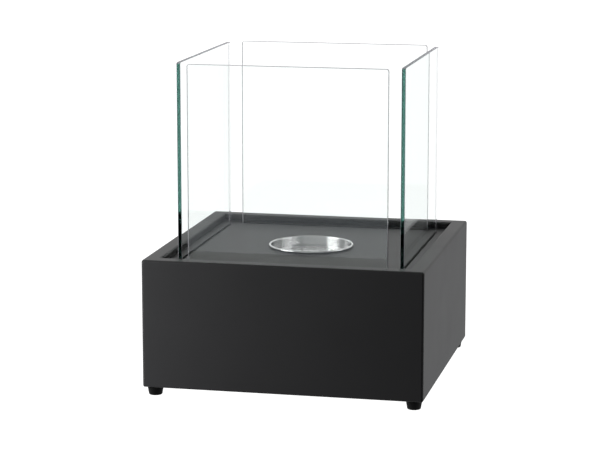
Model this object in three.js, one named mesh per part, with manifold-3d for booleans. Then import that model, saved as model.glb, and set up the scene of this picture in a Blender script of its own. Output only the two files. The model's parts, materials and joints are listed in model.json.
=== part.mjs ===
// Bioethanol fireplace: a square casing of folded steel sheet on four rubber feet, a sunk deck with
// four slots, a pane of glass standing in each slot, and a round drop-in burner in the middle.
// Millimetres, +Z up, front towards -Y. The origin is the middle of the footprint, on the surface
// that the fireplace stands on.
import * as THREE from "three";
import { mergeVertices } from "three/addons/utils/BufferGeometryUtils.js";
import Module from "manifold-3d";

const wasm = await Module();
wasm.setup();

// ---------------------------------------------------------------- driving dimensions

// Casing
const sideLength = 350; // outer width, and outer depth
const casingHeight = 160; // lower edge to the top of the rim
const casingSheet = 1.5;
const casingBend = 1.2; // inside radius of the casing's folds
const casingCorner = 2.5; // outside radius of the four upright corners
const mitreRadius = 0.4; // what is left of a corner where two folded edges meet
const rimWidth = 20; // flat border round the sunk deck
const recessDepth = 8; // rim's top to the deck's top
const flangeWidth = 40; // edge folded in at the bottom, which carries the feet and the base plate

// Deck
const deckSheet = 1.5;
const deckGap = 0.5; // deck's edge to the wall of the recess
const slotSideGap = 0.5; // glass face to slot edge
const slotEndGap = 1; // glass edge to slot end
const slotCorner = 1;
const studDiameter = 4; // studs welded under the deck's corners
const studEnd = 1.3; // stud showing below its nut

// Glass panes
const glassThickness = 5;
const glassHeight = 258;
const glassDepth = 12.5; // how far a pane's lower edge stands below the deck's top
const glassSetback = 13; // wall of the recess to a pane's outer face
const glassCornerGap = 12.5; // a pane's upright edge to its neighbour's inner face
const glassCorner = 3;
const glassArris = 0.4; // ground edge

// Channels under the slots, and the rubber strips in them
const channelSheet = 1;
const channelBend = 0.6;
const channelOverrun = 3; // past the end of the slot
const sealWall = 0.7;
const sealDrop = 1; // deck's underside to the strip's upper edge

// Burner cup
const burnerDiameter = 108.4; // over the rolled rim
const beadDiameter = 3;
const cupSheet = 0.8;
const cupDepth = 70; // deck's top to the underside of the cup
const cupStep = 7; // how much the lower chamber is narrower, on the radius
const cupBend = 0.8; // inside radius of the cup's folds
const cupHoleGap = 0.5; // cup's wall to the hole in the deck
const curlTurn = (3 / 2) * Math.PI; // how far the rim is rolled over

// Perforated insert and the pad below it
const insertThickness = 1;
const insertDrop = 12; // top of the rolled rim to the insert's top
const insertGap = 3.6; // insert's edge to the wall round it, which a hook can reach into
const insertMargin = 2; // insert's edge to the nearest hole
const holeDiameter = 5;
const holePitch = 8.8; // between neighbours in a staggered pattern
const padHeight = 50;
const padGap = 0.6;
const padEdge = 3;

// Feet
const footHeight = 11; // the surface to the casing's lower edge
const footTopDiameter = 20;
const footBottomDiameter = 17;
const footInset = 13; // casing's side to the foot's middle
const footEdge = 1.6;
const footPocketDiameter = 9.5; // hides the screw's head
const footPocketDepth = 5;

// Fasteners
const screwDiameter = 4;
const screwHeadDiameter = 8;
const screwHeadHeight = 2.4;
const screwEnd = 1.3; // screw showing past its nut
const nutWidth = 7; // across flats
const nutHeight = 3.2;
const rivetDiameter = 4;
const rivetHeadDiameter = 8;
const rivetHeadHeight = 1.2;
const rivetTailDiameter = 6;
const rivetTailHeight = 3;

// Base plate
const baseSheet = 1.5;
const basePassGap = 1; // it drops in through the deck's opening

// Clearances
const seatGap = 0.3; // between a piece and what it rests on
const fitGap = 0.3; // between a strip and the channel or the glass beside it
const boreGap = 0.4; // between a shank and its hole, on the radius
const ledgeGap = 0.6; // between the deck's ledge and the channels

// Facets
const bendSteps = 3;
const curlSteps = 7;
const cupFacets = 40;
const footFacets = 20;
const smallFacets = 12;
const holeFacets = 8;

// ---------------------------------------------------------------- derived places

const halfSide = sideLength / 2;
const rimTop = footHeight + casingHeight;
const deckTop = rimTop - recessDepth;
const deckUnderside = deckTop - deckSheet;
const recessHalf = halfSide - rimWidth;

const glassOuter = recessHalf - glassSetback; // outer face of each pane, from the middle
const glassMiddle = glassOuter - glassThickness / 2;
const glassWidth = 2 * (glassOuter - glassThickness - glassCornerGap);
const glassBottom = deckTop - glassDepth;

const slotWidth = glassThickness + 2 * slotSideGap;
const slotLength = glassWidth + 2 * slotEndGap;

const sealInside = glassThickness + 2 * fitGap;
const sealOutside = sealInside + 2 * sealWall;
const channelInside = sealOutside + 2 * fitGap;
const channelOutside = channelInside + 2 * channelSheet;
const sealFloor = glassBottom - seatGap; // upper face of the strip's floor
const channelFloor = sealFloor - sealWall - seatGap; // upper face of the channel's floor

const ledgeWidth = glassSetback - (channelOutside - glassThickness) / 2 - ledgeGap;
const ledgeTop = deckUnderside - seatGap;
const ledgeOpening = recessHalf - ledgeWidth;
const studPlace = recessHalf - ledgeWidth / 2;
const studBottom = ledgeTop - casingSheet - seatGap - nutHeight - studEnd;

const flangeTop = footHeight + casingSheet;
const flangeOpening = halfSide - flangeWidth;
const baseHalf = ledgeOpening - basePassGap;
const baseBottom = flangeTop + seatGap;
const rivetPlace = (flangeOpening + baseHalf) / 2;

const beadRadius = beadDiameter / 2;
const cupInside = burnerDiameter / 2 - beadDiameter; // radius of the upper wall's inner face
const beadMiddle = deckTop + seatGap + beadRadius;
const beadTop = beadMiddle + beadRadius;
const cupFloor = deckTop - cupDepth + cupSheet; // upper face of the cup's floor
const insertTop = beadTop - insertDrop;
const shoulderTop = insertTop - insertThickness - seatGap;
const chamberInside = cupInside - cupStep;
const insertRadius = cupInside - insertGap;

const footPlace = halfSide - footInset;
const footTop = footHeight - seatGap;
const screwHeadTop = footPocketDepth - seatGap;
const screwTop = flangeTop + seatGap + nutHeight + screwEnd;

// ---------------------------------------------------------------- finishes

const finish = (color, roughness, metalness, extra = {}) => ({ color, roughness, metalness, ...extra });
const blackPaint = finish(0x2a2a2c, 0.55, 0.1);
const zincPlate = finish(0x9a9c9e, 0.4, 0.9);
const stainless = finish(0xc4c6c8, 0.25, 1);
const clearGlass = finish(0xdcefe8, 0.02, 0, { transparent: true, opacity: 0.25 });
const greyRubber = finish(0x3a3a3a, 0.8, 0);
const blackRubber = finish(0x161616, 0.75, 0);
const whiteWool = finish(0xe8e4da, 1, 0);

// ---------------------------------------------------------------- shaping helpers

const point = (x, y) => new THREE.Vector2(x, y);
const leftOf = (heading) => point(-heading.y, heading.x);

// Adds one bend to the two faces of a folded sheet. The sheet's thickness lies to the right of
// its heading, so a bend to the left leaves the back face on the larger radius.
function addBend(sheet, start, heading, turn, faceRadius, steps) {
  const side = Math.sign(turn);
  const centre = start.clone().addScaledVector(leftOf(heading), side * faceRadius);
  const backRadius = faceRadius + side * sheet.thickness;
  for (let step = 0; step <= steps; step++) {
    const spoke = leftOf(heading).multiplyScalar(-side);
    spoke.rotateAround(point(0, 0), (turn * step) / steps);
    sheet.face.push(centre.clone().addScaledVector(spoke, faceRadius));
    sheet.back.push(centre.clone().addScaledVector(spoke, backRadius));
  }
}

// Closed outline of a sheet folded along an open line, with a round bend at each of its points.
// A curl rolls the last edge over to the right, on the given radius.
function foldedSheet(line, thickness, insideRadius, curl = null) {
  const sheet = { thickness, face: [], back: [] };
  const headings = line.slice(1).map((end, i) => end.clone().sub(line[i]).normalize());
  const addEnd = (place, heading) => {
    sheet.face.push(place.clone());
    sheet.back.push(place.clone().addScaledVector(leftOf(heading), -thickness));
  };
  addEnd(line[0], headings[0]);
  for (let i = 1; i < headings.length; i++) {
    const before = headings[i - 1];
    const turn = Math.atan2(before.cross(headings[i]), before.dot(headings[i]));
    const faceRadius = turn < 0 ? insideRadius + thickness : insideRadius;
    const setback = faceRadius * Math.tan(Math.abs(turn) / 2);
    const start = line[i].clone().addScaledVector(before, -setback);
    addBend(sheet, start, before, turn, faceRadius, bendSteps);
  }
  const last = headings[headings.length - 1];
  if (curl) addBend(sheet, line[line.length - 1], last, -curl.turn, curl.radius, curlSteps);
  else addEnd(line[line.length - 1], last);
  return [...sheet.face, ...sheet.back.reverse()];
}

// Points round a square with rounded corners, counter-clockwise.
function squareRing(half, radius) {
  const ring = [];
  for (let corner = 0; corner < 4; corner++) {
    for (let step = 0; step <= bendSteps; step++) {
      const angle = (corner + step / bendSteps) * (Math.PI / 2);
      const middle = point(half - radius, half - radius).rotateAround(point(0, 0), corner * (Math.PI / 2));
      ring.push(middle.add(point(Math.cos(angle), Math.sin(angle)).multiplyScalar(radius)));
    }
  }
  return ring;
}

// A closed profile of (inset, height) points carried round a square with rounded corners.
function sweepRoundSquare(profile, half, cornerRadius) {
  const rings = profile.map(({ x: inset, y: height }) => {
    const radius = Math.max(cornerRadius - inset, mitreRadius);
    return squareRing(half - inset, radius).map((p) => [p.x, p.y, height]);
  });
  const across = rings[0].length;
  const indices = [];
  for (let i = 0; i < rings.length; i++) {
    for (let j = 0; j < across; j++) {
      const here = i * across + j;
      const beside = i * across + ((j + 1) % across);
      const over = ((i + 1) % rings.length) * across + j;
      const overBeside = ((i + 1) % rings.length) * across + ((j + 1) % across);
      indices.push(here, beside, over, beside, overBeside, over);
    }
  }
  const geometry = new THREE.BufferGeometry();
  geometry.setAttribute("position", new THREE.Float32BufferAttribute(rings.flat(2), 3));
  geometry.setIndex(indices);
  return geometry;
}

// A profile of (radius, height) points turned about the upright axis.
function turned(profile, facets) {
  return new THREE.LatheGeometry(profile, facets).rotateX(Math.PI / 2);
}

// A flat outline raised from one height to another.
function raised(shape, bottom, top) {
  const options = { depth: top - bottom, bevelEnabled: false, curveSegments: bendSteps };
  return new THREE.ExtrudeGeometry(shape, options).translate(0, 0, bottom);
}

// A rectangle with rounded corners, drawn into a Shape or a Path.
function drawRectangle(path, x, y, halfWidth, halfHeight, radius) {
  path.absarc(x + halfWidth - radius, y + halfHeight - radius, radius, 0, Math.PI / 2);
  path.absarc(x - halfWidth + radius, y + halfHeight - radius, radius, Math.PI / 2, Math.PI);
  path.absarc(x - halfWidth + radius, y - halfHeight + radius, radius, Math.PI, 1.5 * Math.PI);
  path.absarc(x + halfWidth - radius, y - halfHeight + radius, radius, 1.5 * Math.PI, 2 * Math.PI);
  path.closePath();
  return path;
}

// A regular outline with the given number of corners, drawn into a Shape or a Path.
function drawRound(path, x, y, radius, corners) {
  for (let i = 0; i < corners; i++) {
    const angle = (i * 2 * Math.PI) / corners;
    const place = point(x + radius * Math.cos(angle), y + radius * Math.sin(angle));
    if (i === 0) path.moveTo(place.x, place.y);
    else path.lineTo(place.x, place.y);
  }
  path.closePath();
  return path;
}

const postAt = (x, y, radius, bottom, top, facets = smallFacets) =>
  raised(drawRound(new THREE.Shape(), x, y, radius, facets), bottom, top);

function toSolid(geometry) {
  const bare = geometry.clone();
  bare.deleteAttribute("normal");
  bare.deleteAttribute("uv");
  const merged = mergeVertices(bare, 1e-4);
  const vertProperties = merged.attributes.position.array;
  const triVerts = new Uint32Array(merged.index.array);
  return new wasm.Manifold(new wasm.Mesh({ numProp: 3, vertProperties, triVerts }));
}

function toGeometry(solid) {
  const mesh = solid.getMesh();
  const geometry = new THREE.BufferGeometry();
  geometry.setAttribute("position", new THREE.Float32BufferAttribute(mesh.vertProperties, 3));
  geometry.setIndex(new THREE.Uint32BufferAttribute(mesh.triVerts, 1));
  geometry.computeVertexNormals();
  return geometry;
}

const cutFrom = (geometry, tools) =>
  toGeometry(tools.reduce((solid, tool) => solid.subtract(toSolid(tool)), toSolid(geometry)));

const joinedTo = (geometry, pieces) =>
  toGeometry(pieces.reduce((solid, piece) => solid.add(toSolid(piece)), toSolid(geometry)));

// ---------------------------------------------------------------- assembly helpers

const fireplace = new THREE.Group();

function addPiece(name, geometry, look, parent = fireplace) {
  const mesh = new THREE.Mesh(geometry, new THREE.MeshStandardMaterial(look));
  mesh.name = name;
  parent.add(mesh);
  return mesh;
}

// The four sides: each is the front one turned about the upright axis.
const sides = ["front", "right", "rear", "left"].map((name, quarter) => {
  const group = new THREE.Group();
  group.rotation.z = quarter * (Math.PI / 2);
  fireplace.add(group);
  return { name, group };
});

const corners = [
  { name: "front_left", x: -1, y: -1 },
  { name: "front_right", x: 1, y: -1 },
  { name: "rear_right", x: 1, y: 1 },
  { name: "rear_left", x: -1, y: 1 },
];

const atCorners = (place, make) => corners.map(({ x, y }) => make(x * place, y * place));

// ---------------------------------------------------------------- casing

// One sheet, folded: bottom flange, wall, rim, wall of the recess, and the ledge under the deck.
function makeCasing() {
  const line = [
    point(flangeWidth, footHeight),
    point(0, footHeight),
    point(0, rimTop),
    point(rimWidth, rimTop),
    point(rimWidth, ledgeTop),
    point(rimWidth + ledgeWidth, ledgeTop),
  ];
  const profile = foldedSheet(line, casingSheet, casingBend);
  const shell = sweepRoundSquare(profile, halfSide, casingCorner);
  const screwHole = screwDiameter / 2 + boreGap;
  const studHole = studDiameter / 2 + boreGap;
  const rivetHole = rivetDiameter / 2 + boreGap;
  const past = casingSheet; // each drill starts and ends this far outside the sheet
  const flangeHole = (radius) => (x, y) => postAt(x, y, radius, footHeight - past, flangeTop + past);
  const ledgeHole = (x, y) => postAt(x, y, studHole, ledgeTop - casingSheet - past, ledgeTop + past);
  return cutFrom(shell, [
    ...atCorners(footPlace, flangeHole(screwHole)),
    ...atCorners(rivetPlace, flangeHole(rivetHole)),
    ...atCorners(studPlace, ledgeHole),
  ]);
}

// ---------------------------------------------------------------- deck and base plate

function makeDeck() {
  const half = recessHalf - deckGap;
  const outline = drawRectangle(new THREE.Shape(), 0, 0, half, half, mitreRadius);
  const slotHalf = [slotLength / 2, slotWidth / 2];
  for (const place of [-glassMiddle, glassMiddle]) {
    const along = drawRectangle(new THREE.Path(), 0, place, ...slotHalf, slotCorner);
    const across = drawRectangle(new THREE.Path(), place, 0, ...slotHalf.toReversed(), slotCorner);
    outline.holes.push(along, across);
  }
  const holeRadius = cupInside + cupSheet + cupHoleGap;
  outline.holes.push(drawRound(new THREE.Path(), 0, 0, holeRadius, cupFacets));
  const plate = raised(outline, deckUnderside, deckTop);
  const weld = deckSheet / 2; // a stud's root, inside the plate
  const stud = (x, y) => postAt(x, y, studDiameter / 2, studBottom, deckUnderside + weld);
  return joinedTo(plate, atCorners(studPlace, stud));
}

function makeBasePlate() {
  const outline = drawRectangle(new THREE.Shape(), 0, 0, baseHalf, baseHalf, casingCorner);
  const hole = (x, y) => drawRound(new THREE.Path(), x, y, rivetDiameter / 2 + boreGap, smallFacets);
  outline.holes.push(...atCorners(rivetPlace, hole));
  return raised(outline, baseBottom, baseBottom + baseSheet);
}

// ---------------------------------------------------------------- glass and what holds it

// Drawn as width and height, then stood up on the front side.
function standOnFront(geometry) {
  return geometry.rotateX(Math.PI / 2).translate(0, -glassMiddle, 0);
}

function makePane() {
  const halfWidth = glassWidth / 2 - glassArris;
  const halfHeight = glassHeight / 2 - glassArris;
  const middle = glassBottom + glassHeight / 2;
  const corner = glassCorner - glassArris;
  const outline = drawRectangle(new THREE.Shape(), 0, middle, halfWidth, halfHeight, corner);
  const depth = glassThickness - 2 * glassArris;
  const pane = new THREE.ExtrudeGeometry(outline, {
    depth,
    bevelSize: glassArris,
    bevelThickness: glassArris,
    bevelSegments: 1,
    curveSegments: bendSteps,
  });
  return standOnFront(pane.translate(0, 0, -depth / 2));
}

// A U of sheet that runs along the front side, open at the top and at both ends.
function makeTrough(inside, floorTop, top, thickness, bend, length) {
  const half = inside / 2;
  const line = [point(-half, top), point(-half, floorTop), point(half, floorTop), point(half, top)];
  const profile = foldedSheet(line, thickness, bend);
  const options = { depth: length, bevelEnabled: false };
  const trough = new THREE.ExtrudeGeometry(new THREE.Shape(profile), options);
  return trough
    .translate(0, 0, -length / 2)
    .rotateX(Math.PI / 2)
    .rotateZ(Math.PI / 2)
    .translate(0, -glassMiddle, 0);
}

const makeChannel = () =>
  makeTrough(
    channelInside,
    channelFloor,
    deckUnderside - seatGap,
    channelSheet,
    channelBend,
    slotLength + 2 * channelOverrun,
  );

const makeSeal = () =>
  makeTrough(sealInside, sealFloor, deckUnderside - sealDrop, sealWall, fitGap / 2, glassWidth);

// ---------------------------------------------------------------- burner

// Drawn cup: floor, lower chamber, shoulder for the insert, upper wall and a rolled rim.
function makeCup() {
  const line = [
    point(0, cupFloor),
    point(chamberInside, cupFloor),
    point(chamberInside, shoulderTop),
    point(cupInside, shoulderTop),
    point(cupInside, beadMiddle),
  ];
  const curl = { radius: beadRadius, turn: curlTurn };
  return turned(foldedSheet(line, cupSheet, cupBend, curl).reverse(), cupFacets);
}

// Round plate with a staggered pattern of holes.
function makeInsert() {
  const outline = drawRound(new THREE.Shape(), 0, 0, insertRadius, cupFacets);
  const reach = insertRadius - insertMargin - holeDiameter / 2; // furthest middle of a hole
  const rowPitch = (holePitch * Math.sqrt(3)) / 2;
  const lastRow = Math.floor(reach / rowPitch);
  for (let row = -lastRow; row <= lastRow; row++) {
    const y = row * rowPitch;
    const shift = row % 2 === 0 ? 0 : holePitch / 2;
    const lastHole = Math.ceil(reach / holePitch);
    for (let i = -lastHole; i <= lastHole; i++) {
      const x = i * holePitch + shift;
      if (Math.hypot(x, y) > reach) continue;
      outline.holes.push(drawRound(new THREE.Path(), x, y, holeDiameter / 2, holeFacets));
    }
  }
  return raised(outline, insertTop - insertThickness, insertTop);
}

function makePad() {
  const radius = chamberInside - padGap;
  const bottom = cupFloor + seatGap;
  const top = bottom + padHeight;
  const edge = [point(0, bottom), point(radius - padEdge, bottom)];
  for (const quarter of [0, 1]) {
    const height = quarter === 0 ? bottom + padEdge : top - padEdge;
    for (let step = 1; step <= bendSteps; step++) {
      const angle = (quarter - 1 + step / bendSteps) * (Math.PI / 2);
      const spoke = point(Math.cos(angle), Math.sin(angle)).multiplyScalar(padEdge);
      edge.push(spoke.add(point(radius - padEdge, height)));
    }
  }
  edge.push(point(0, top));
  return turned(edge, cupFacets);
}

// ---------------------------------------------------------------- feet and fasteners

// Rubber foot, drawn about its own axis: tapered outside, pocket for the screw's head below.
function makeFoot() {
  const bore = screwDiameter / 2 + boreGap;
  const pocket = footPocketDiameter / 2;
  const bottom = footBottomDiameter / 2;
  const profile = [point(bore, footTop), point(bore, footPocketDepth), point(pocket, footPocketDepth)];
  profile.push(point(pocket, 0));
  for (let step = 0; step <= bendSteps; step++) {
    const angle = (step / bendSteps - 1) * (Math.PI / 2);
    const spoke = point(Math.cos(angle), Math.sin(angle)).multiplyScalar(footEdge);
    profile.push(spoke.add(point(bottom - footEdge, footEdge)));
  }
  profile.push(point(footTopDiameter / 2, footTop), point(bore, footTop));
  return turned(profile, footFacets);
}

// A shank with a flat head below and, if it has one, a wider tail above.
function makeShank(shankRadius, headRadius, headBottom, headTop, top, tailRadius = 0, tailBottom = 0) {
  const profile = [point(0, headBottom), point(headRadius, headBottom), point(headRadius, headTop)];
  profile.push(point(shankRadius, headTop));
  if (tailRadius > 0) profile.push(point(shankRadius, tailBottom), point(tailRadius, tailBottom));
  profile.push(point(Math.max(shankRadius, tailRadius), top), point(0, top));
  return turned(profile, smallFacets);
}

const makeScrew = () =>
  makeShank(screwDiameter / 2, screwHeadDiameter / 2, screwHeadTop - screwHeadHeight, screwHeadTop, screwTop);

function makeRivet() {
  const headTop = footHeight - seatGap;
  const tailBottom = baseBottom + baseSheet + seatGap;
  const tail = [tailBottom + rivetTailHeight, rivetTailDiameter / 2, tailBottom];
  return makeShank(rivetDiameter / 2, rivetHeadDiameter / 2, headTop - rivetHeadHeight, headTop, ...tail);
}

function makeNut(shankDiameter, bottom) {
  const acrossCorners = nutWidth / Math.cos(Math.PI / 6);
  const outline = drawRound(new THREE.Shape(), 0, 0, acrossCorners / 2, 6);
  outline.holes.push(drawRound(new THREE.Path(), 0, 0, shankDiameter / 2 + boreGap, smallFacets));
  return raised(outline, bottom, bottom + nutHeight);
}

// ---------------------------------------------------------------- assembly

addPiece("casing_shell", makeCasing(), blackPaint);
addPiece("deck_plate", makeDeck(), blackPaint);
addPiece("base_plate", makeBasePlate(), blackPaint);

for (const { name, group } of sides) {
  addPiece(`glass_channel_${name}`, makeChannel(), zincPlate, group);
  addPiece(`glass_seal_${name}`, makeSeal(), greyRubber, group);
  addPiece(`glass_panel_${name}`, makePane(), clearGlass, group);
}

addPiece("burner_cup", makeCup(), stainless);
addPiece("burner_insert", makeInsert(), stainless);
addPiece("absorbent_pad", makePad(), whiteWool);

for (const { name, x, y } of corners) {
  const foot = addPiece(`foot_${name}`, makeFoot(), blackRubber);
  const screw = addPiece(`foot_screw_${name}`, makeScrew(), zincPlate);
  const nut = addPiece(`foot_nut_${name}`, makeNut(screwDiameter, flangeTop + seatGap), zincPlate);
  for (const piece of [foot, screw, nut]) piece.position.set(x * footPlace, y * footPlace, 0);

  const nutBottom = ledgeTop - casingSheet - seatGap - nutHeight;
  const deckNut = addPiece(`deck_nut_${name}`, makeNut(studDiameter, nutBottom), zincPlate);
  deckNut.position.set(x * studPlace, y * studPlace, 0);

  const rivet = addPiece(`base_rivet_${name}`, makeRivet(), zincPlate);
  rivet.position.set(x * rivetPlace, y * rivetPlace, 0);
}

export default fireplace;
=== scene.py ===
import json
from math import atan2, ceil, cos, floor, hypot, pi, radians, sin, sqrt, tan

import bmesh
import bpy
from mathutils import Euler, Matrix, Vector, noise


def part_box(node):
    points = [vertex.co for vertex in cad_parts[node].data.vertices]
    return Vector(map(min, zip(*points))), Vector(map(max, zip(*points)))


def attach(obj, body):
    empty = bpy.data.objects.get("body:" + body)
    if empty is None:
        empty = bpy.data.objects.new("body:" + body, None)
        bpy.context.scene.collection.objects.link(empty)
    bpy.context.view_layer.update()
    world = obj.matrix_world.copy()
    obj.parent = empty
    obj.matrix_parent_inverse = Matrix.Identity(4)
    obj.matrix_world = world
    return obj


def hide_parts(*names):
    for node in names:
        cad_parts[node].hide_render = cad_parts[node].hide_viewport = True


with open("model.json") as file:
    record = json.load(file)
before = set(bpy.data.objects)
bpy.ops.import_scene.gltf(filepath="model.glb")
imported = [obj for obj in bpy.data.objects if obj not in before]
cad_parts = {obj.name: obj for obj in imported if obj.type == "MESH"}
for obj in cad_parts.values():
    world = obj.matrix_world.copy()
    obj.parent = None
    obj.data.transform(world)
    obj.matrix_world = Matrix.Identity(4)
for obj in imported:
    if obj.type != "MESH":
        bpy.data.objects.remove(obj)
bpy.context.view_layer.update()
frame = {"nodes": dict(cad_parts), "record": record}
nodes = frame["nodes"]
mm = 0.001
print("stage: frame loaded")


# A socket of a node tree. Maths on it adds Math nodes, and node() adds any other kind.
class Wire:
    def __init__(self, tree, socket=None):
        self.tree = tree
        self.socket = socket

    def node(self, kind, settings=None, sockets=None, output=0):
        made = self.tree.nodes.new(kind)
        for key, value in (settings or {}).items():
            if key == "stops":
                self.setStops(made.color_ramp.elements, value)
            else:
                setattr(made, key, value)
        for key, value in (sockets or {}).items():
            if isinstance(value, Wire):
                self.tree.links.new(value.socket, made.inputs[key])
            else:
                made.inputs[key].default_value = value
        return Wire(self.tree, made.outputs[output] if made.outputs else None)

    def setStops(self, ramp, stops):
        while len(ramp) < len(stops):
            ramp.new(0.5)
        for stop, (place, level) in zip(ramp, stops):
            stop.position = place
            stop.color = (level, level, level, 1)

    def maths(self, operation, first, second):
        return self.node("ShaderNodeMath", {"operation": operation}, {0: first, 1: second})

    def __add__(self, other):
        return self.maths("ADD", self, other)

    def __radd__(self, other):
        return self.maths("ADD", other, self)

    def __sub__(self, other):
        return self.maths("SUBTRACT", self, other)

    def __rsub__(self, other):
        return self.maths("SUBTRACT", other, self)

    def __mul__(self, other):
        return self.maths("MULTIPLY", self, other)

    def __rmul__(self, other):
        return self.maths("MULTIPLY", other, self)

    def place(self, stretch=(1, 1, 1)):
        # where a point of the piece lies, in metres, stretched along each axis
        coordinates = self.node("ShaderNodeTexCoord", output="Object")
        scaled = {"operation": "MULTIPLY"}
        return self.node("ShaderNodeVectorMath", scaled, {0: coordinates, 1: stretch})

    def grain(self, scale, detail=2.0, stretch=(1, 1, 1)):
        sockets = {"Vector": self.place(stretch), "Scale": scale, "Detail": detail}
        return self.node("ShaderNodeTexNoise", None, sockets)

    def mark(self, name):
        # what the mesh says of each of its faces, from 0 to 1
        return self.node("ShaderNodeAttribute", {"attribute_name": name}, output="Fac")

    def between(self, factor, first, second):
        # the colours of a Mix node are its sockets 6 and 7, and its output 2
        sockets = {0: factor, 6: (*first, 1), 7: (*second, 1)}
        return self.node("ShaderNodeMix", {"data_type": "RGBA"}, sockets, output=2)

    def bump(self, height, depth):
        sockets = {"Height": height, "Distance": depth, "Strength": 1.0}
        return self.node("ShaderNodeBump", None, sockets)


def startMaterial(name):
    material = bpy.data.materials.new(name)
    material.use_nodes = True
    material.node_tree.nodes.clear()
    return material, Wire(material.node_tree)


def closeMaterial(wire, surface, volume=None):
    ends = {"Surface": surface}
    if volume:
        ends["Volume"] = volume
    wire.node("ShaderNodeOutputMaterial", None, ends)


casingLook = {
    "dark": (0.0045, 0.0045, 0.0047),
    "light": (0.0065, 0.0065, 0.0068),
    "roughness": (0.40, 0.50),
    "specular": 0.26,
    "speckle": 1400,  # spots per metre
    "cloud": 14,  # broad patches per metre
    "speckleShare": 0.6,  # of the change in colour, and the clouds make the rest
    "orangePeel": 420,  # ripples per metre
    "pits": 0.25,  # how deep the speckle is, next to the ripple
    "peelDepth": 0.02 * mm,
}


def makePaint(name, look):
    # powder coat: fine speckle, and the soft ripple that it dries with
    material, wire = startMaterial(name)
    speckle = wire.grain(look["speckle"], detail=3)
    cloud = wire.grain(look["cloud"])
    share = look["speckleShare"]
    tone = wire.between(speckle * share + cloud * (1 - share), look["dark"], look["light"])
    low, high = look["roughness"]
    roughness = low + (high - low) * (0.5 * speckle + 0.5 * cloud)
    ripple = wire.grain(look["orangePeel"]) + look["pits"] * speckle
    sockets = {"Base Color": tone, "Roughness": roughness}
    sockets |= {"Specular IOR Level": look["specular"]}
    sockets |= {"Normal": wire.bump(ripple, look["peelDepth"])}
    closeMaterial(wire, wire.node("ShaderNodeBsdfPrincipled", None, sockets))
    return material


deckLook = dict(casingLook, roughness=(0.38, 0.46), specular=0.12, peelDepth=0.008 * mm)
baseLook = dict(casingLook, roughness=(0.55, 0.65))

glassLook = {
    "refraction": 1.5,
    "coating": (0.9, 0.94, 1.0),  # colour of what the faces mirror
    "absorbed": (11.2, 6.9, 7.8),  # red, green and blue, per metre of glass
    "edgeTint": (1.0, 1.0, 1.0),  # of the polished upright edges
    "groundColour": (0.45, 0.43, 0.47),
    "groundClear": 0.3,  # share of light that a ground edge lets through
    "groundRoughness": 0.4,
    "groundSpread": 0.6,  # how much that roughness differs from place to place
    "frost": 900,  # spots per metre of the ground edges
}
# the left and right panes are seen along their faces, so they mirror and tint less there
sideLook = dict(glassLook, refraction=1.06, absorbed=(7.3, 5.25, 5.8), edgeTint=(0.25, 0.62, 0.57))


def makeGlass(name, look):
    # polished all over but for what the mesh marks as ground
    material, wire = startMaterial(name)
    tint = wire.between(wire.mark("edge"), (1, 1, 1), look["edgeTint"])
    sockets = {"Base Color": tint, "Transmission Weight": 1.0, "Roughness": 0.0}
    sockets |= {"IOR": look["refraction"], "Specular Tint": (*look["coating"], 1)}
    clear = wire.node("ShaderNodeBsdfPrincipled", None, sockets)
    spread = look["groundSpread"]
    uneven = 1 - spread / 2 + spread * wire.grain(look["frost"])
    sockets = {"Base Color": (*look["groundColour"], 1), "IOR": look["refraction"]}
    sockets |= {"Transmission Weight": look["groundClear"]}
    sockets |= {"Roughness": look["groundRoughness"] * uneven}
    frosted = wire.node("ShaderNodeBsdfPrincipled", None, sockets)
    sockets = {0: wire.mark("ground"), 1: clear, 2: frosted}
    surface = wire.node("ShaderNodeMixShader", None, sockets)
    most = max(look["absorbed"])
    passed = [1 - a / most for a in look["absorbed"]]
    sockets = {"Color": (*passed, 1), "Density": most}
    volume = wire.node("ShaderNodeVolumeAbsorption", None, sockets)
    closeMaterial(wire, surface, volume)
    return material


steelLook = {
    "dark": (0.38, 0.38, 0.38),
    "light": (0.56, 0.56, 0.56),
    "roughness": (0.2, 0.27),
    "drawn": 0.9,  # how much the reflections spread across the marks
    "drawnTurn": 0.25,  # in full turns, so that they spread up and down
    "groove": 2600,  # turning marks per metre
    "grooveStretch": (0.02, 0.02, 1),  # thin in height, and long round the piece
    "grooveShare": (0.5, 0.4),  # of the change in colour and in roughness
    "grooveDepth": 0.012 * mm,
    "smudge": 30,  # broad patches per metre, which make the rest of the change
}


def makeSteel(name, look):
    # turned steel: fine marks that run round the piece
    material, wire = startMaterial(name)
    marks = wire.grain(look["groove"], detail=3, stretch=look["grooveStretch"])
    smudge = wire.grain(look["smudge"])
    inTone, inRoughness = look["grooveShare"]
    tone = wire.between(inTone * marks + (1 - inTone) * smudge, look["dark"], look["light"])
    low, high = look["roughness"]
    roughness = low + (high - low) * ((1 - inRoughness) * smudge + inRoughness * marks)
    sockets = {"Base Color": tone, "Metallic": 1.0, "Roughness": roughness}
    sockets |= {"Anisotropic": look["drawn"], "Anisotropic Rotation": look["drawnTurn"]}
    sockets |= {"Normal": wire.bump(marks, look["grooveDepth"])}
    closeMaterial(wire, wire.node("ShaderNodeBsdfPrincipled", None, sockets))
    return material


insertLook = dict(steelLook, dark=(0.6, 0.6, 0.6), light=(0.78, 0.78, 0.78), roughness=(0.2, 0.3))
insertLook |= {"drawn": 0, "groove": 500, "grooveStretch": (1, 0.05, 1), "grooveDepth": 0.008 * mm}

zincLook = dict(steelLook, dark=(0.3, 0.31, 0.32), light=(0.5, 0.5, 0.48), roughness=(0.4, 0.55))
zincLook |= {"drawn": 0, "grooveStretch": (1, 1, 1)}

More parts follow.
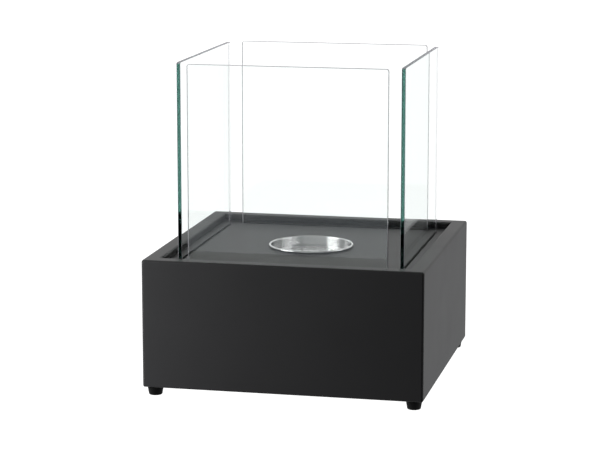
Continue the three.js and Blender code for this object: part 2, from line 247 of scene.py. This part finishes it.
rubberLook = dict(casingLook, dark=(0.003, 0.003, 0.003), light=(0.008, 0.008, 0.008))
rubberLook |= {"roughness": (0.5, 0.7), "specular": 0.2}
rubberLook |= {"speckle": 2500, "orangePeel": 900, "peelDepth": 0.03 * mm}
sealLook = dict(rubberLook, dark=(0.02, 0.02, 0.02), light=(0.05, 0.05, 0.05))

woolAndPaintedShadeLook = {
    # dark and light: the fibres' tone, which varies at random, set darker than clean wool as painted
    # shade under the insert's holes
    "dark": (0.22, 0.2, 0.17),
    "light": (0.58, 0.56, 0.52),
    "roughness": (0.75, 1.0),
    # fibres per metre and how they are drawn out, along, across and upright
    "fibres": [(900, (0.12, 1, 1)), (900, (1, 0.12, 1)), (630, (1, 1, 0.15))],
    "fibreDepth": 0.4 * mm,
}


def makeWool(name, look):
    # matted fibres, which cross each other in three directions
    material, wire = startMaterial(name)
    along, across, upright = [wire.grain(s, detail=4, stretch=t) for s, t in look["fibres"]]
    mat = (along + across + upright) * (1 / 3)
    tone = wire.between(mat, look["dark"], look["light"])
    low, high = look["roughness"]
    sockets = {"Base Color": tone, "Roughness": low + (high - low) * mat}
    sockets |= {"Normal": wire.bump(mat, look["fibreDepth"])}
    closeMaterial(wire, wire.node("ShaderNodeBsdfPrincipled", None, sockets))
    return material


finishes = {
    "casing_paint": makePaint("casingPaint", casingLook),
    "deck_paint": makePaint("deckPaint", deckLook),
    "base_paint": makePaint("basePaint", baseLook),
    "clear_glass": makeGlass("clearGlass", glassLook),
    "burner_steel": makeSteel("burnerSteel", steelLook),
    "insert_steel": makeSteel("insertSteel", insertLook),
    "pad_wool": makeWool("padWoolPaintedShade", woolAndPaintedShadeLook),
    "zinc_steel": makeSteel("zincSteel", zincLook),
    "seal_rubber": makePaint("sealRubber", sealLook),
    "foot_rubber": makePaint("footRubber", rubberLook),
}
sideGlass = makeGlass("sideGlass", sideLook)

for subpart in frame["record"]["subparts"]:
    for slot in nodes[subpart["node"]].material_slots:
        slot.material = finishes[subpart["material_slot"]]
print("stage: finishes made")


def leftOf(heading):
    return Vector((-heading.y, heading.x))


# Closed outline of a sheet folded along an open line, round at each bend. The sheet lies to the
# right of the line. A curl (radius, turn) rolls the last edge over to the right.
def foldedSheet(line, thickness, insideRadius, steps, curl=None):
    face, back = [], []
    line = [Vector(p) for p in line]
    headings = [(b - a).normalized() for a, b in zip(line, line[1:])]

    def addEnd(place, heading):
        face.append(place.copy())
        back.append(place - leftOf(heading) * thickness)

    def addBend(start, heading, turn, faceRadius, count):
        side = 1 if turn > 0 else -1
        centre = start + leftOf(heading) * side * faceRadius
        for step in range(count + 1):
            spoke = leftOf(heading) * -side
            spoke.rotate(Matrix.Rotation(turn * step / count, 2))
            face.append(centre + spoke * faceRadius)
            back.append(centre + spoke * (faceRadius + side * thickness))

    addEnd(line[0], headings[0])
    for before, after, corner in zip(headings, headings[1:], line[1:]):
        turn = atan2(before.x * after.y - before.y * after.x, before.dot(after))
        faceRadius = insideRadius + (thickness if turn < 0 else 0)
        setback = faceRadius * tan(abs(turn) / 2)
        addBend(corner - before * setback, before, turn, faceRadius, steps)
    if curl:
        addBend(line[-1], headings[-1], -curl[1], curl[0], 3 * steps)
    else:
        addEnd(line[-1], headings[-1])
    return face + back[::-1]


def weld(mesh, reach=0.001 * mm):
    shape = bmesh.new()
    shape.from_mesh(mesh)
    bmesh.ops.remove_doubles(shape, verts=shape.verts, dist=reach)
    bmesh.ops.recalc_face_normals(shape, faces=shape.faces)
    shape.to_mesh(mesh)
    shape.free()


def finishMesh(name, mesh, sharpAngle=30):
    mesh.validate()
    for polygon in mesh.polygons:
        polygon.use_smooth = True
    mesh.set_sharp_from_angle(angle=radians(sharpAngle))
    piece = bpy.data.objects.new(name, mesh)
    bpy.context.scene.collection.objects.link(piece)
    return piece


def addMesh(name, verts, faces):
    mesh = bpy.data.meshes.new(name)
    mesh.from_pydata(verts, [], faces)
    return finishMesh(name, mesh)


# An outline of (radius, height) points turned about an upright axis at (x, y). A point on the
# axis becomes one corner that all the faces round it share.
def turnedPiece(name, outline, segments, centre=(0, 0), closed=True):
    verts, rings = [], []
    for radius, height in outline:
        if radius < 0.0001 * mm:
            rings.append([len(verts)] * segments)
            verts.append((*centre, height))
            continue
        rings.append(list(range(len(verts), len(verts) + segments)))
        for i in range(segments):
            angle = 2 * pi * i / segments
            x = centre[0] + radius * cos(angle)
            y = centre[1] + radius * sin(angle)
            verts.append((x, y, height))
    faces = []
    nextRings = rings[1:] + rings[:1] if closed else rings[1:]
    for ring, over in zip(rings, nextRings):
        for i in range(segments):
            j = (i + 1) % segments
            corners = [ring[i], ring[j], over[j], over[i]]
            face = [c for k, c in enumerate(corners) if c not in corners[:k]]
            if len(face) > 2:
                faces.append(face)
    return addMesh(name, verts, faces)


def dress(piece, body, slotName, node):
    piece.data.materials.clear()
    piece.data.materials.append(finishes[slotName])
    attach(piece, body)
    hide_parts(node)
    return piece


cup = {
    "sheet": 0.8 * mm,
    "bead": 3 * mm,
    "step": 7 * mm,  # how much the lower chamber is narrower, on the radius
    "bend": 0.8 * mm,
    "bendSteps": 8,
    "curl": 1.5 * pi,
    "seatGap": 0.3 * mm,  # between the shoulder and the insert
    "segments": 160,
}


def makeCup():
    low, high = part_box("burner_cup")
    wall = high.x - cup["bead"]
    chamber = wall - cup["step"]
    floorTop = low.z + cup["sheet"]
    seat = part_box("burner_insert")[0].z - cup["seatGap"]
    rim = high.z - cup["bead"] / 2
    line = [(0, floorTop), (chamber, floorTop), (chamber, seat), (wall, seat), (wall, rim)]
    curl = (cup["bead"] / 2, cup["curl"])
    outline = foldedSheet(line, cup["sheet"], cup["bend"], cup["bendSteps"], curl)
    piece = turnedPiece("burnerCup", outline[::-1], cup["segments"])
    return dress(piece, "burner", "burner_steel", "burner_cup")


insert = {
    "hole": 5 * mm,
    "pitch": 8.8 * mm,  # between neighbours in the staggered pattern
    "margin": 2 * mm,  # edge of the plate to the nearest hole
    "punched": 0.12 * mm,  # rounding that the punch leaves on every edge
    "punchedSteps": 2,
    "holePoints": 20,
    "edgePoints": 128,
}


def addCircle(curve, x, y, radius, points):
    spline = curve.splines.new("POLY")
    spline.points.add(points - 1)
    for i, place in enumerate(spline.points):
        angle = 2 * pi * i / points
        place.co = (x + radius * cos(angle), y + radius * sin(angle), 0, 1)
    spline.use_cyclic_u = True


def makeInsert():
    low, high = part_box("burner_insert")
    rounding = insert["punched"]
    pitch = insert["pitch"]
    curve = bpy.data.curves.new("insertOutline", "CURVE")
    curve.dimensions = "2D"
    curve.fill_mode = "BOTH"
    curve.extrude = (high.z - low.z) / 2 - rounding
    curve.bevel_depth = rounding
    curve.bevel_resolution = insert["punchedSteps"]
    addCircle(curve, 0, 0, high.x - rounding, insert["edgePoints"])
    reach = high.x - insert["margin"] - insert["hole"] / 2
    rowPitch = pitch * sqrt(3) / 2
    lastRow = floor(reach / rowPitch)
    lastHole = ceil(reach / pitch)
    for row in range(-lastRow, lastRow + 1):
        shift = 0 if row % 2 == 0 else pitch / 2
        for i in range(-lastHole, lastHole + 1):
            x, y = i * pitch + shift, row * rowPitch
            if hypot(x, y) <= reach:
                addCircle(curve, x, y, insert["hole"] / 2 + rounding, insert["holePoints"])
    holder = bpy.data.objects.new("insertOutline", curve)
    bpy.context.scene.collection.objects.link(holder)
    graph = bpy.context.evaluated_depsgraph_get()
    mesh = bpy.data.meshes.new_from_object(holder.evaluated_get(graph))
    bpy.data.objects.remove(holder)
    mesh.name = "burnerInsert"
    mesh.transform(Matrix.Translation((0, 0, (low.z + high.z) / 2)))
    weld(mesh)
    piece = finishMesh("burnerInsert", mesh)
    return dress(piece, "insert", "insert_steel", "burner_insert")


pad = {
    "edge": 4 * mm,
    "edgeSteps": 6,
    "rough": 1.1 * mm,  # how deep the tufts go
    "tuft": 160,  # tufts per metre
    "waves": [(1, 0.35), (3.1, 0.25)],  # how close together the tufts are, and how deep
    "fill": 0.7,
    "segments": 120,
    "rings": 30,  # on the top and on the side
    "underRings": 6,
}


def makePad():
    low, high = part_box("absorbent_pad")
    edge, rings, under = pad["edge"], pad["rings"], pad["underRings"]
    flat = high.x - edge
    side = high.z - low.z - 2 * edge
    quarter = [pi / (2 * pad["edgeSteps"]) * i for i in range(1, pad["edgeSteps"] + 1)]
    outline = [(flat * i / rings, high.z) for i in range(rings + 1)]
    outline += [(flat + edge * sin(a), high.z - edge * (1 - cos(a))) for a in quarter]
    outline += [(high.x, high.z - edge - side * i / rings) for i in range(1, rings + 1)]
    outline += [(flat + edge * cos(a), low.z + edge * (1 - sin(a))) for a in quarter]
    outline += [(flat * (1 - i / under), low.z) for i in range(1, under + 1)]
    piece = turnedPiece("absorbentPad", outline[::-1], pad["segments"])
    middle = Vector((0, 0, (low.z + high.z) / 2))
    for vertex in piece.data.vertices:
        point = vertex.co * pad["tuft"]
        depth = 0.5 + sum(deep * noise.noise(point * close) for close, deep in pad["waves"])
        inward = (middle - vertex.co).normalized()
        vertex.co += inward * max(depth, 0) * pad["rough"]
    return dress(piece, "burner", "pad_wool", "absorbent_pad")


makeCup()
makeInsert()
makePad()
print("stage: burner made")

foot = {
    "bottom": 17 * mm,  # diameter on the floor
    "edge": 1.6 * mm,
    "topEdge": 0.5 * mm,
    "edgeSteps": 8,
    "pocket": (9.5 * mm, 5 * mm),  # diameter and depth, for the screw's head
    "bore": 4.8 * mm,
    "segments": 96,
}


def makeFoot(corner):
    low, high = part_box("foot_" + corner)
    centre = (low + high) / 2
    bottom, bore = foot["bottom"] / 2, foot["bore"] / 2
    pocket, depth = foot["pocket"][0] / 2, foot["pocket"][1]
    edge, topEdge = foot["edge"], foot["topEdge"]
    flat = bottom - edge
    top = (high.x - low.x) / 2 - topEdge
    shoulder = high.z - topEdge
    quarter = [pi / (2 * foot["edgeSteps"]) * i for i in range(foot["edgeSteps"] + 1)]
    outline = [(bore, high.z), (bore, depth), (pocket, depth), (pocket, low.z)]
    outline += [(flat + edge * sin(a), low.z + edge * (1 - cos(a))) for a in quarter]
    outline += [(top + topEdge * cos(a), shoulder + topEdge * sin(a)) for a in quarter]
    piece = turnedPiece("foot." + corner, outline, foot["segments"], centre)
    return dress(piece, "housing", "foot_rubber", "foot_" + corner)


for corner in ("front_left", "front_right", "rear_right", "rear_left"):
    makeFoot(corner)
print("stage: feet made")

pane = {
    "corner": 3 * mm,
    "cornerPoints": 12,
    "arris": 0.5 * mm,
    "groundArris": 1,  # how dull the arrises are, from 0, polished
    "groundTop": 1,  # the top edge
    "groundRear": 0.25,  # and the rear edges of the side panes
    "inSeal": 2 * mm,
}


def roundedRectangle(halfWidth, halfHeight, radius, steps):
    ring = []
    for quarter, (x, y) in enumerate([(1, 1), (-1, 1), (-1, -1), (1, -1)]):
        for step in range(steps + 1):
            angle = (quarter + step / steps) * pi / 2
            across = x * (halfWidth - radius) + radius * cos(angle)
            ring.append((across, y * (halfHeight - radius) + radius * sin(angle)))
    return ring


# The edge of a pane is three bands of faces, an arris, the edge itself and the other arris. After
# them come the two large faces. The marks say where it is ground, and where its edge shows its tint.
def markPane(piece, side, count):
    low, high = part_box("glass_panel_" + side)
    middle = (low.y + high.y) / 2
    ground = piece.data.attributes.new("ground", "FLOAT", "FACE")
    edge = piece.data.attributes.new("edge", "FLOAT", "FACE")
    for i, polygon in enumerate(piece.data.polygons):
        inSeal = polygon.center.z < low.z + pane["inSeal"]
        polygon.material_index = 1 if inSeal else 0
        if i >= 3 * count:
            continue
        top = polygon.center.z > high.z - pane["corner"] / 2
        rear = side in ("left", "right") and polygon.center.y > middle
        if i // count != 1:
            ground.data[i].value = pane["groundArris"]
        elif top:
            ground.data[i].value = pane["groundTop"]
        elif rear:
            ground.data[i].value = pane["groundRear"]
        else:
            edge.data[i].value = 1


def makePane(side):
    low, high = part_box("glass_panel_" + side)
    size, centre = high - low, (low + high) / 2
    thick, wide = (0, 1) if size.x < size.y else (1, 0)
    arris, half = pane["arris"], size[thick] / 2
    verts, faces = [], []
    for depth, inset in ((-half, arris), (arris - half, 0), (half - arris, 0), (half, arris)):
        halfWidth, halfHeight = size[wide] / 2 - inset, size.z / 2 - inset
        radius = pane["corner"] - inset
        for across, up in roundedRectangle(halfWidth, halfHeight, radius, pane["cornerPoints"]):
            place = Vector((0, 0, up))
            place[thick], place[wide] = depth, across
            verts.append(centre + place)
    count = len(verts) // 4
    for level in range(3):
        for i in range(count):
            j = (i + 1) % count
            here, over = level * count, (level + 1) * count
            faces.append((here + i, here + j, over + j, over + i))
    faces.append(tuple(range(count - 1, -1, -1)))
    faces.append(tuple(range(3 * count, 4 * count)))
    piece = addMesh("pane." + side, verts, faces)
    if thick == 1:
        piece.data.flip_normals()
    dress(piece, side + "_glass", "clear_glass", "glass_panel_" + side)
    if side in ("left", "right"):
        piece.data.materials[0] = sideGlass
    piece.data.materials.append(finishes["seal_rubber"])
    markPane(piece, side, count)
    return piece


for side in ("front", "right", "rear", "left"):
    makePane(side)
print("stage: glass made")

backdrop = {
    "floor": 25,  # metres from the middle to where the sheet curves up
    "cove": 8,
    "coveSteps": 8,
    "wall": 20,
    "segments": 64,
    "glow": 1.16,
    "paint": 0.08,
}


def makeBackdrop():
    # one seamless sheet, flat and then curved up on every side
    flat, cove, steps = backdrop["floor"], backdrop["cove"], backdrop["coveSteps"]
    outline = [(0, 0)]
    for step in range(steps + 1):
        angle = pi / 2 * step / steps
        outline.append((flat + cove * sin(angle), cove * (1 - cos(angle))))
    outline.append((flat + cove, backdrop["wall"]))
    sheet = turnedPiece("floor", outline, backdrop["segments"], closed=False)
    material, wire = startMaterial("paleFloor")
    sockets = {"Base Color": (*[backdrop["paint"]] * 3, 1), "Roughness": 1.0}
    sockets |= {"Specular IOR Level": 0.0, "Emission Color": (1, 1, 1, 1)}
    sockets |= {"Emission Strength": backdrop["glow"]}
    closeMaterial(wire, wire.node("ShaderNodeBsdfPrincipled", None, sockets))
    sheet.data.materials.append(material)
    sheet.visible_glossy = False
    sheet.visible_diffuse = False
    sheet.visible_shadow = False


room = {
    # brightness of the room from the back, 0, round both sides to the front, 1
    "high": [(0, 1.0), (0.3, 0.85), (0.5, 0.5), (0.72, 0.3), (1, 0.17)],
    "low": [(0, 0.82), (0.3, 0.78), (0.5, 0.5), (0.72, 0.27), (1, 0.15)],
    "leftGain": 0.22,  # how much brighter the room is on the left
    "edge": 4,  # how quickly high gives way to low
    "lowTint": (0.99, 1.0, 1.01),
}


def makeRoom():
    world = bpy.data.worlds.new("studioAir")
    world.use_nodes = True
    world.node_tree.nodes.clear()
    air = Wire(world.node_tree)
    direction = air.node("ShaderNodeTexCoord", output="Generated")
    x, y, z = [air.node("ShaderNodeSeparateXYZ", None, {0: direction}, axis) for axis in "XYZ"]
    ahead = 0.5 - 0.5 * y
    high = air.node("ShaderNodeValToRGB", {"stops": room["high"]}, {0: ahead})
    low = air.node("ShaderNodeValToRGB", {"stops": room["low"]}, {0: ahead})
    below = air.node("ShaderNodeClamp", None, {0: 0.5 - room["edge"] * z})
    strength = (high * (1 - below) + low * below) * (1 - room["leftGain"] * x)
    tint = air.between(below, (1, 1, 1), room["lowTint"])
    background = air.node("ShaderNodeBackground", None, {"Color": tint, "Strength": strength})
    air.node("ShaderNodeOutputWorld", None, {"Surface": background})
    bpy.context.scene.world = world


# Two soft boxes, and a wash of light along the front that reaches the casing alone, so that the
# ground edges of the glass stay dull.
lamps = {
    "leftBox": {
        "place": (-0.74, -0.46, 0.42),
        "target": (0, 0, 0.2),
        "size": (0.62, 0.6),
        "brightness": 4.6,
    },
    "rightBox": {
        "place": (1.0, 0.0, 0.42),
        "target": (0, 0, 0.2),
        "size": (0.6, 0.5),
        "brightness": 1.7,
    },
    "wash": {
        "place": (-0.62, -0.38, 0.1),
        "target": (0, -0.175, 0.1),
        "size": (0.16, 0.4),
        "brightness": 150,
        "only": "casing_shell",
    },
}


def makeLamp(name, lamp):
    data = bpy.data.lights.new(name, "AREA")
    data.shape = "RECTANGLE"
    data.size, data.size_y = lamp["size"]
    data.energy = 4 * lamp["brightness"] * data.size * data.size_y
    holder = bpy.data.objects.new(name, data)
    aim = Vector(lamp["target"]) - Vector(lamp["place"])
    holder.location = lamp["place"]
    holder.rotation_euler = aim.to_track_quat("-Z", "Y").to_euler()
    holder.visible_camera = False
    holder.visible_transmission = "only" not in lamp
    holder.visible_glossy = "only" not in lamp
    bpy.context.scene.collection.objects.link(holder)
    if "only" in lamp:
        reached = bpy.data.collections.new(name + "Reach")
        reached.objects.link(nodes[lamp["only"]])
        holder.light_linking.receiver_collection = reached


makeBackdrop()
makeRoom()
for name, lamp in lamps.items():
    makeLamp(name, lamp)

camera = {
    "place": (0.5977, -2.7614, 0.7173),
    "turn": 12.51,  # degrees left of straight ahead
    "dip": 10.578,  # degrees below level
    "lens": 135.06,  # millimetres, on a sensor as wide as the next value
    "sensor": 36,
    "reach": (0.01, 200),
}


def makeCamera():
    data = bpy.data.cameras.new("camera")
    data.lens = camera["lens"]
    data.sensor_width = camera["sensor"]
    data.clip_start, data.clip_end = camera["reach"]
    holder = bpy.data.objects.new("camera", data)
    holder.location = camera["place"]
    holder.rotation_euler = Euler((radians(90 - camera["dip"]), 0, radians(camera["turn"])))
    bpy.context.scene.collection.objects.link(holder)
    bpy.context.scene.camera = holder


makeCamera()
scene = bpy.context.scene
scene.view_settings.view_transform = "Standard"
scene.cycles.max_bounces = 48  # light runs along inside a pane for many turns
scene.cycles.transmission_bounces = 48
scene.cycles.glossy_bounces = 24
print("stage: studio made")
